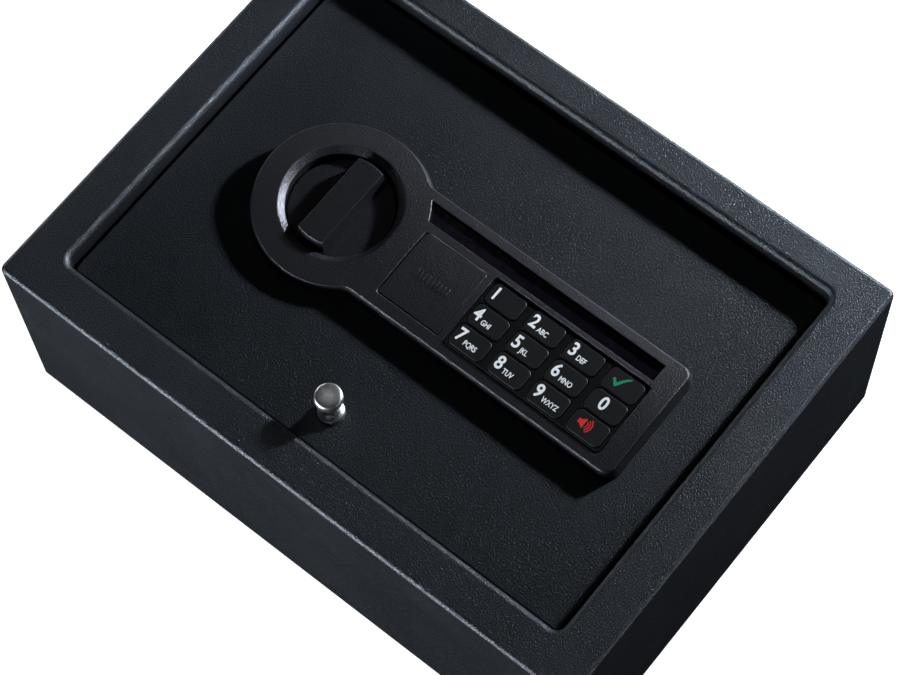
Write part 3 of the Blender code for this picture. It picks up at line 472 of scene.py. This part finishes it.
def foam_mat():
    """A felt-faced foam mat, cut a little small and softly uneven."""
    columns, rows = 96, 72
    edge = 1.6 * MM

    def build(bm):
        top, low = [], []
        for j in range(rows + 1):
            for i in range(columns + 1):
                u, v = i / columns, j / rows
                x = MAT.x0 + (MAT.x1 - MAT.x0) * u
                y = MAT.y0 + (MAT.y1 - MAT.y0) * v
                near = min(x - MAT.x0, MAT.x1 - x, y - MAT.y0, MAT.y1 - y)
                soft = 1 - max(0.0, 1 - near / edge) ** 2
                swell = 0.12 * MM * (math.sin(x * 61 + y * 23) + math.sin(y * 83 - x * 31))
                z = MAT.z1 - 0.3 * MM - (1 - soft) * 1.4 * MM + swell * soft
                top.append(bm.verts.new((x, y, z)))
                low.append(bm.verts.new((x, y, MAT.z0)))
        width = columns + 1
        for j in range(rows):
            for i in range(columns):
                a = j * width + i
                bm.faces.new((top[a], top[a + 1], top[a + width + 1], top[a + width]))
                bm.faces.new((low[a], low[a + width], low[a + width + 1], low[a + 1]))
        border = list(range(width)) + [j * width + columns for j in range(1, rows + 1)]
        border += [rows * width + i for i in range(columns - 1, -1, -1)]
        border += [j * width for j in range(rows - 1, 0, -1)]
        for a, b in zip(border, border[1:] + border[:1]):
            bm.faces.new((top[a], low[a], low[b], top[b]))

    mat = new_mesh("foam_mat", build)
    finish_piece(mat, "box", FELT, ("floor_mat",), 60)


# ---------------------------------------------------------------- lid

def lid_plate():
    """The recessed plate lid with its softened edges and the holes under the lock."""
    def outline(grow):
        return rectangle(LID.x0 - grow, LID.x1 + grow, LID.y0 - grow, LID.y1 + grow, 2.5 * MM + grow, 8)

    layers = [(LID.z0, -0.3 * MM), (LID.z0 + 0.3 * MM, 0)] + round_over(LID.z1, 0.7 * MM)
    plate = new_mesh("lid_plate", lambda bm: add_stack(bm, outline, layers))
    lock, pull = place("override_lock_body"), place("pull_knob_screw")

    def holes(bm):
        spots = ((KNOB_X, KNOB_Y, 6.6 * MM), ((lock.x0 + lock.x1) / 2, (lock.y0 + lock.y1) / 2, 8.5 * MM),
                 ((pull.x0 + pull.x1) / 2, (pull.y0 + pull.y1) / 2, 2.4 * MM))
        for x, y, radius in spots:
            add_lathe(bm, ((0, LID.z0 - MM), (radius, LID.z0 - MM), (radius, LID.z1 + MM), (0, LID.z1 + MM)),
                      (x, y, 0), 40)

    combine(plate, holes)
    finish_piece(plate, "lid", LID_COAT, ("door_panel",))


def strip_outline(grow):
    """The smoked strip: straight, with its left end following the ring."""
    front, rear = STRIP.y0 - grow, STRIP.y1 + grow
    ring = RING_R + CLEAR - grow
    low = math.degrees(math.asin((front - KNOB_Y) / ring))
    high = math.degrees(math.asin((rear - KNOB_Y) / ring))
    points = arc(KNOB_X, KNOB_Y, ring, high, low, 10)
    points += [(STRIP.x1 + grow, front), (STRIP.x1 + grow, rear)]
    return points


def around(box, radius, gap=0.0):
    """An outline function for a rounded rectangle that keeps a gap to a node's box."""
    def outline(grow):
        g = grow + gap
        return rectangle(box.x0 - g, box.x1 + g, box.y0 - g, box.y1 + g, radius + g, 8)
    return outline


def crown(x, y):
    """How far the housing's top stands above its nominal height at a point."""
    along = min(1, max(0, (x - KNOB_X - RING_R / 2) / RING_R))
    share = CROWN_ON_RING + (1 - CROWN_ON_RING) * along * along * (3 - 2 * along)
    near_end = max(0, x - ARM_END + END_EASE) / END_EASE
    lean = ((y - CROWN_LINE) / CROWN_SPAN) ** 2
    if y < CROWN_LINE:
        lean *= 1.35 / (1 + 0.35 * lean)
    barrel = share * (CROWN_RISE - CROWN_FALL * lean)
    dome = DOME_FALL * (1 - along) * ((x - KNOB_X) ** 2 + (y - KNOB_Y) ** 2) / RING_R ** 2
    return barrel - dome + END_LIFT * near_end ** 2


def add_crown(piece):
    """Cut a piece into fine facets seen from above and lift them to the crowned top."""
    bm = bmesh.new()
    bm.from_mesh(piece.data)
    bmesh.ops.triangulate(bm, faces=bm.faces)
    xs, ys = [v.co.x for v in bm.verts], [v.co.y for v in bm.verts]
    for values, axis, step in ((xs, 0, 4 * MM), (ys, 1, 2 * MM)):
        at = min(values) + step
        while at < max(values):
            spot, normal = Vector((0, 0, 0)), Vector((0, 0, 0))
            spot[axis], normal[axis] = at, 1
            bmesh.ops.bisect_plane(bm, geom=bm.verts[:] + bm.edges[:] + bm.faces[:], dist=1e-7, plane_co=spot,
                                   plane_no=normal)
            at += step
    for vertex in bm.verts:
        share = min(1, max(0, (vertex.co.z - HOUSING.z0) / (TOP - HOUSING.z0)))
        vertex.co.z += crown(vertex.co.x, vertex.co.y) * share
    bm.to_mesh(piece.data)
    bm.free()


def lock_case():
    """The keyhole-shaped moulding with the knob's well, the tile's pocket, the key window and the strip."""
    layers = [(HOUSING.z0, DRAFT), (TOP - 1.2 * MM, 0.2 * MM)] + round_over(TOP, 0.8 * MM, 6)
    case = new_mesh("lock_case", lambda bm: add_stack(bm, keyhole, layers))
    under = HOUSING.z0 - MM
    well = [(0, under), (WELL_R, under), (WELL_R, TOP - WELL_BEVEL - 0.3 * MM),
            (WELL_R + 0.1 * MM, TOP - WELL_BEVEL),
            (WELL_MOUTH_R - 0.35 * MM, TOP - 0.28 * MM), (WELL_MOUTH_R - 0.1 * MM, TOP - 0.12 * MM),
            (WELL_MOUTH_R + 0.15 * MM, TOP - 0.04 * MM), (WELL_MOUTH_R + 0.5 * MM, TOP),
            (WELL_MOUTH_R + 0.6 * MM, TOP + MM), (0, TOP + MM)]
    combine(case, lambda bm: add_lathe(bm, well, (KNOB_X, KNOB_Y, 0), 128))
    combine(case, lambda bm: add_stack(bm, around(BEZEL, BEZEL_CORNER, CLEAR),
                                       [(under, 0)] + flare(TOP, 0.3 * MM)))
    combine(case, lambda bm: add_stack(bm, around(BADGE, BADGE_CORNER, CLEAR),
                                       [(TOP - 4 * MM, 0)] + flare(TOP, 0.6 * MM)))
    combine(case, lambda bm: add_stack(bm, lambda g: strip_outline(g + CLEAR),
                                       [(STRIP.z0 - CLEAR, 0)] + flare(TOP, 0.4 * MM)))
    lock = place("override_lock_body")
    spot = ((lock.x0 + lock.x1) / 2, (lock.y0 + lock.y1) / 2, 0)
    combine(case, lambda bm: add_lathe(bm, ((0, under), (8.4 * MM, under), (8.4 * MM, TOP - 3 * MM),
                                            (0, TOP - 3 * MM)), spot, 48))
    add_crown(case)
    finish_piece(case, "lid", PLASTIC, ("lock_housing",))


def smoked_strip():
    layers = [(STRIP.z0, 0)] + round_over(STRIP.z1, 0.2 * MM, 3)
    strip = new_mesh("smoked_strip", lambda bm: add_stack(bm, strip_outline, layers))
    finish_piece(strip, "lid", LENS, ("window_strip",))


def cover_tile():
    """The plain tile over the override lock, with a row of small grip ridges where a thumb pushes."""
    face = BADGE.z1 - 0.25 * MM
    layers = [(BADGE.z0, 0)] + round_over(face, 0.35 * MM)
    tile = new_mesh("cover_tile", lambda bm: add_stack(bm, around(BADGE, BADGE_CORNER), layers))
    middle_x, middle_y = (BADGE.x0 + BADGE.x1) / 2, (BADGE.y0 + BADGE.y1) / 2
    ridges, pitch, width, length = 9, 2 * MM, 0.7 * MM, 3.6 * MM

    def bars(bm):
        for i in range(ridges):
            x = middle_x + (i - (ridges - 1) / 2) * pitch
            low, high = middle_y - length / 2, middle_y + length / 2
            bar = lambda grow: rectangle(x - width / 2 - grow, x + width / 2 + grow, low - grow, high + grow,
                                         0.3 * MM + grow, 3)
            add_stack(bm, bar, [(face - 0.5 * MM, 0)] + round_over(face + 0.4 * MM, 0.2 * MM, 3))

    combine(tile, bars, "UNION")
    add_crown(tile)
    finish_piece(tile, "badge", PLASTIC, ("badge_cover",))


def key_panel():
    """The flat panel round the keys, with a soft-edged window for each."""
    layers = [(BEZEL.z0, 0)] + round_over(BEZEL.z1, 0.25 * MM)
    panel = new_mesh("key_panel", lambda bm: add_stack(bm, around(BEZEL, BEZEL_CORNER), layers))

    def windows(bm):
        for name in KEYS:
            add_stack(bm, around(place("key_" + name), KEY_WINDOW_CORNER, CLEAR),
                      [(BEZEL.z0 - MM, 0)] + flare(BEZEL.z1, 0.12 * MM, 3))

    combine(panel, windows)
    finish_piece(panel, "lid", PANEL, ("keypad_bezel",))


def legend_text(name, text, height, narrow, x, y, z, weight, align="CENTER"):
    """Printed characters as thin raised ink. x, y is their centre, or the left end of their base line."""
    curve = bpy.data.curves.new(name, "FONT")
    curve.body = text
    curve.size = height / CAPITAL_SHARE
    curve.align_x = align
    curve.align_y = "CENTER" if align == "CENTER" else "TOP_BASELINE"
    curve.offset = weight
    curve.extrude = INK_HALF
    curve.resolution_u = 6
    source = bpy.data.objects.new(name + "_text", curve)
    scene.collection.objects.link(source)
    mesh = bpy.data.meshes.new_from_object(source.evaluated_get(bpy.context.evaluated_depsgraph_get()))
    bpy.data.objects.remove(source, do_unlink=True)
    mesh.transform(Matrix.Translation((x, y, z)) @ Matrix.Scale(narrow, 4, (1, 0, 0)))
    made = bpy.data.objects.new(name, mesh)
    scene.collection.objects.link(made)
    return made


def legend_shape(name, outlines, x, y, z):
    """Printed shapes as thin raised ink, from outlines in millimetres about x, y."""
    def build(bm):
        for outline in outlines:
            points = [(x + px * MM, y + py * MM) for px, py in outline]
            add_stack(bm, lambda grow: points, [(z - INK_HALF, 0), (z + INK_HALF, 0)])
    return new_mesh(name, build)


def sound_wave(radius, width, spread):
    """One curved bar of the loudspeaker sign."""
    outer = arc(-2.9, 0, radius + width / 2, -spread, spread, 14)
    return outer + arc(-2.9, 0, radius - width / 2, spread, -spread, 14)


TICK = [(-5.3, 0.4), (-4.6, 1.2), (-3.0, -0.5), (-1.6, 1.6), (0.0, 3.4), (1.5, 4.4), (1.9, 4.0), (0.7, 2.7),
        (-0.7, 0.8), (-1.7, -1.0), (-2.5, -2.4), (-3.3, -2.2)]
SPEAKER = [(-5.3, -1.0), (-4.2, -1.0), (-2.2, -2.6), (-2.2, 2.6), (-4.2, 1.0), (-5.3, 1.0)]


def keys():
    """Twelve key caps with rounded shoulders, and their printed legends."""
    for name in KEYS:
        spot = place("key_" + name)
        body = "key_" + name
        layers = [(spot.z0, 0)] + round_over(spot.z1, 0.5 * MM, 5)
        cap = new_mesh("cap_" + name, lambda bm: add_stack(bm, around(spot, KEY_CORNER), layers))
        finish_piece(cap, body, KEY, (body,))
        x, y, z = (spot.x0 + spot.x1) / 2, (spot.y0 + spot.y1) / 2, spot.z1 + INK_LIFT
        if name == "enter":
            finish_piece(legend_shape("tick", [TICK], x, y, z), body, GREEN_INK)
        elif name == "sound":
            waves = [sound_wave(radius, 0.5, 50) for radius in (2.0, 3.0, 4.0)]
            finish_piece(legend_shape("speaker", [SPEAKER] + waves, x, y + 0.5 * MM, z), body, RED_INK)
        else:
            digit_x = x + (ZERO_X if name == "0" else DIGIT_X)
            digit = legend_text("digit_" + name, name, DIGIT_HIGH, DIGIT_NARROW, digit_x, y + DIGIT_Y, z,
                                DIGIT_WEIGHT)
            finish_piece(digit, body, WHITE_INK)
        if name in LETTERS:
            group = legend_text("letters_" + name, LETTERS[name], GROUP_HIGH, GROUP_NARROW, x + GROUP_X,
                                y + GROUP_Y, z, GROUP_WEIGHT, "LEFT")
            finish_piece(group, body, WHITE_INK)


def pull():
    """A turned knob: foot flange, slim neck and a mushroom head with a slightly domed face."""
    foot = PULL.z0
    outer = [(0, 18.3), (2, 18.27), (4, 18.14), (5.0, 17.95), (5.6, 17.6), (5.9, 17.1), (6, 16.4), (6, 14.6),
             (5.9, 14.15), (5.6, 13.75), (5.0, 13.2), (4.2, 12.4), (3.55, 11.5), (3.15, 10.5), (3, 9.5),
             (2.95, 8), (3, 6.5), (3.1, 5.4), (3.4, 4.3), (3.9, 3.4), (4.6, 2.75), (5.2, 2.4), (5.6, 2.1),
             (5.8, 1.7), (5.8, 0.2), (5.6, 0)]
    profile = [(r * MM, foot + h * MM) for r, h in outer] + [(0, foot)]
    knob = new_mesh("pull", lambda bm: add_lathe(bm, profile, PULL_CENTRE, 96))
    finish_piece(knob, "lid", PULL_METAL, ("pull_knob",), 50)


def grip_outline(grow):
    """The knob's bar. Its two ends follow the circle that it turns in, and lean back more than its sides."""
    half_width, radius = GRIP_HALF + 0.35 * grow, KNOB.x1 - KNOB_X - 1.5 * MM + grow
    lean = math.degrees(math.asin(half_width / radius))
    points = arc(KNOB_X, KNOB_Y, radius, 90 - lean, 90 + lean, 16)
    points += arc(KNOB_X, KNOB_Y, radius, 270 - lean, 270 + lean, 16)
    return points


def turn_knob():
    """The lock knob: a disc with an upright bar across it."""
    face, disc_r = KNOB.z0 + 1.3 * MM, KNOB.x1 - KNOB_X
    disc = [(0, KNOB.z0), (disc_r, KNOB.z0), (disc_r, face - 0.4 * MM),
            (disc_r - 0.12 * MM, face - 0.12 * MM), (disc_r - 0.4 * MM, face), (0, face)]
    knob = new_mesh("turn_knob", lambda bm: add_lathe(bm, disc, (KNOB_X, KNOB_Y, 0), 128))
    layers = [(face - 0.5 * MM, 0.3 * MM), (face + 2 * MM, 0.2 * MM)]
    layers += round_over(KNOB.z1 - GRIP_DROP, 1.3 * MM, 7)
    combine(knob, lambda bm: add_stack(bm, grip_outline, layers), "UNION")
    spindle = place("knob_spindle")
    bore = (spindle.x1 - spindle.x0) / 2 + CLEAR
    hole = ((0, KNOB.z0 - MM), (bore, KNOB.z0 - MM), (bore, spindle.z1 + CLEAR), (0, spindle.z1 + CLEAR))
    combine(knob, lambda bm: add_lathe(bm, hole, (KNOB_X, KNOB_Y, 0), 32))
    finish_piece(knob, "knob", KNOB_PLASTIC_PAINTED_LIGHT, ("knob",))


# ---------------------------------------------------------------- screws and leads

FLANGE, WIRE_R = 1.5 * MM, 0.7 * MM      # the cover's flange thickness and a wire's radius


def cover_screws():
    """Four pan-head screws, with crossed slots, that hold the mechanism cover's flanges up to the lid."""
    flange = COVER.z1 - FLANGE
    head = [(0, 0), (3, 0), (3, 0.6), (2.7, 1.3), (2.0, 1.8), (1.0, 2.0), (0, 2.0)]
    inset, front, rear = 4 * MM, COVER.y0 + 10 * MM, COVER.y1 - 10 * MM
    spots = [(x, y) for x in (COVER.x0 + inset, COVER.x1 - inset) for y in (front, rear)]
    for number, (x, y) in enumerate(spots, 1):
        profile = [(r * MM, flange - h * MM) for r, h in head]
        screw = new_mesh("cover_screw_%d" % number, lambda bm: add_lathe(bm, profile, (x, y, 0), 32))
        for half_x, half_y in ((1.7 * MM, 0.4 * MM), (0.4 * MM, 1.7 * MM)):
            slot = lambda grow: rectangle(x - half_x, x + half_x, y - half_y, y + half_y)
            combine(screw, lambda bm: add_stack(bm, slot, [(flange - 3 * MM, 0), (flange - 1.1 * MM, 0)]))
        finish_piece(screw, "lid", ZINC)


def lead(name, start, sag, end, look):
    """An insulated wire along a slack curve from start to end."""
    def build(bm):
        steps, loops = 14, []
        for step in range(steps + 1):
            t = step / steps
            point = (1 - t) ** 2 * start + 2 * t * (1 - t) * sag + t * t * end
            heading = (1 - t) * (sag - start) + t * (end - sag)
            turn = heading.to_track_quat("Z", "Y").to_matrix()
            loops.append([tuple(point + turn @ Vector((x, y, 0))) for x, y in circle(0, 0, WIRE_R, 12)])
        add_loops(bm, loops)
    finish_piece(new_mesh(name, build), "lid", look)


def leads():
    """The solenoid's and the battery box's pairs of wires to the control board."""
    coil, cells, board = place("solenoid"), place("battery_box"), place("control_board")
    z_end = board.z0 - 0.75 * MM
    for name, shift, look in (("a", -1.5 * MM, WIRE), ("b", 1.5 * MM, RUBBER)):
        x = (coil.x0 + coil.x1) / 2 + shift
        lead("coil_lead_" + name, Vector((x, coil.y1 - 0.5 * MM, coil.z0 + 5 * MM)),
             Vector((x, coil.y1 + 5 * MM, coil.z0 + 3 * MM)), Vector((x, board.y0 + 3 * MM, z_end)), look)
        y = board.y1 - 18 * MM + shift
        lead("cell_lead_" + name, Vector((cells.x0 + 0.5 * MM, y, cells.z1 - 6 * MM)),
             Vector((cells.x0 - 5 * MM, y, cells.z1 - 8 * MM)), Vector((board.x1 - 3 * MM, y, z_end)), look)


# ---------------------------------------------------------------- carried-over nodes

def dress_nodes():
    """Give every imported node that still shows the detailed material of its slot."""
    for name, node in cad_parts.items():
        look = SLOT_LOOKS[node.data.materials[0].name.split(".")[0]]
        node.data.materials.clear()
        node.data.materials.append(look)
        node.data.shade_smooth()
        node.data.set_sharp_from_angle(angle=math.radians(30))


# ---------------------------------------------------------------- studio

CAMERA_SPOT, CAMERA_AIM = Vector((0.31763, -0.34145, 1.13389)), Vector((0.01804, -0.01864, SHELL.z1))
CAMERA_LENS, CAMERA_SENSOR, CAMERA_ROLL = 109.13, 36, -4.49
KEY_COLOUR, CARD_COLOUR = (0.82, 0.90, 1.0), (0.95, 0.97, 1.0)
COOL, COOL_WALL = (0.86, 0.92, 1.0), (0.86, 0.90, 1.0)
ROOM = 6


def camera():
    """Above the front right corner, looking down along a long lens."""
    data = bpy.data.cameras.new("camera")
    data.lens, data.sensor_width = CAMERA_LENS, CAMERA_SENSOR
    made = bpy.data.objects.new("camera", data)
    made.location = CAMERA_SPOT
    aimed = (CAMERA_AIM - CAMERA_SPOT).to_track_quat("-Z", "Y").to_matrix()
    made.rotation_euler = (aimed @ Matrix.Rotation(math.radians(CAMERA_ROLL), 3, "Z")).to_euler()
    scene.collection.objects.link(made)
    scene.camera = made


def lamp(name, spot, aim, size, power, colour, tall=None, spread=180):
    """An area lamp, square or with its own height, aimed at a point. Spread is in degrees."""
    data = bpy.data.lights.new(name, "AREA")
    data.energy, data.color, data.size, data.spread = power, colour, size, math.radians(spread)
    if tall:
        data.shape, data.size_y = "RECTANGLE", tall
    made = bpy.data.objects.new(name, data)
    made.location = spot
    made.rotation_euler = (Vector(aim) - Vector(spot)).to_track_quat("-Z", "Y").to_euler()
    scene.collection.objects.link(made)


def studio():
    """A small key lamp behind the right, low strips for the walls and edges, and a card the top reflects."""
    top = SHELL.z1
    lamp("key", (0.313, 0.753, 0.409), (-0.12, 0.29, top), 0.06, 6.1, KEY_COLOUR, spread=80)
    lamp("front", (-0.30, -0.95, 0.03), (0, 0, 0.05), 0.7, 5.6, COOL_WALL, 0.1)
    lamp("edge", (-0.30, -0.95, 0.17), (0, 0, 0.1), 0.7, 12.0, COOL, 0.04)
    lamp("side", (0.95, 0.2, 0.03), (0, 0, 0.05), 0.7, 1.9, COOL_WALL, 0.1)
    lamp("left", (-0.95, 0.2, 0.14), (0, 0, 0.06), 0.7, 2.6, COOL, 0.1)
    lamp("rear", (-0.2, 1.1, 0.03), (0, 0, 0.05), 0.7, 6.0, COOL, 0.1)
    lamp("card", (-0.322, 0.20, 1.15), (0, -0.05, top), 0.14, 0.13, CARD_COLOUR)
    world = bpy.data.worlds.new("world")
    world.use_nodes = True
    world.node_tree.nodes["Background"].inputs["Color"].default_value = (0.9, 0.95, 1.0, 1)
    world.node_tree.nodes["Background"].inputs["Strength"].default_value = 0.005
    scene.world = world
    scene.view_settings.view_transform = "Standard"
    look = floor_look()
    floor = new_mesh("floor", lambda bm: add_lathe(bm, ((0, 0), (2, 0), (ROOM, 0)), (0, 0, 0), 64))
    floor.location.z = -0.2 * MM
    angles = [math.pi / 2 * i / 12 for i in range(12)]
    dome_profile = [(ROOM * math.cos(a), ROOM * math.sin(a)) for a in angles] + [(0, ROOM)]
    dome = new_mesh("backdrop", lambda bm: add_lathe(bm, dome_profile, (0, 0, -0.001), 64))
    for thing in (floor, dome):
        thing.data.materials.append(look)
        thing.visible_diffuse = thing.visible_glossy = thing.visible_shadow = False


camera()
dress_nodes()
steel_box()
foam_mat()
lid_plate()
lock_case()
smoked_strip()
cover_tile()
key_panel()
keys()
pull()
turn_knob()
cover_screws()
leads()
studio()

bpy.context.view_layer.update()
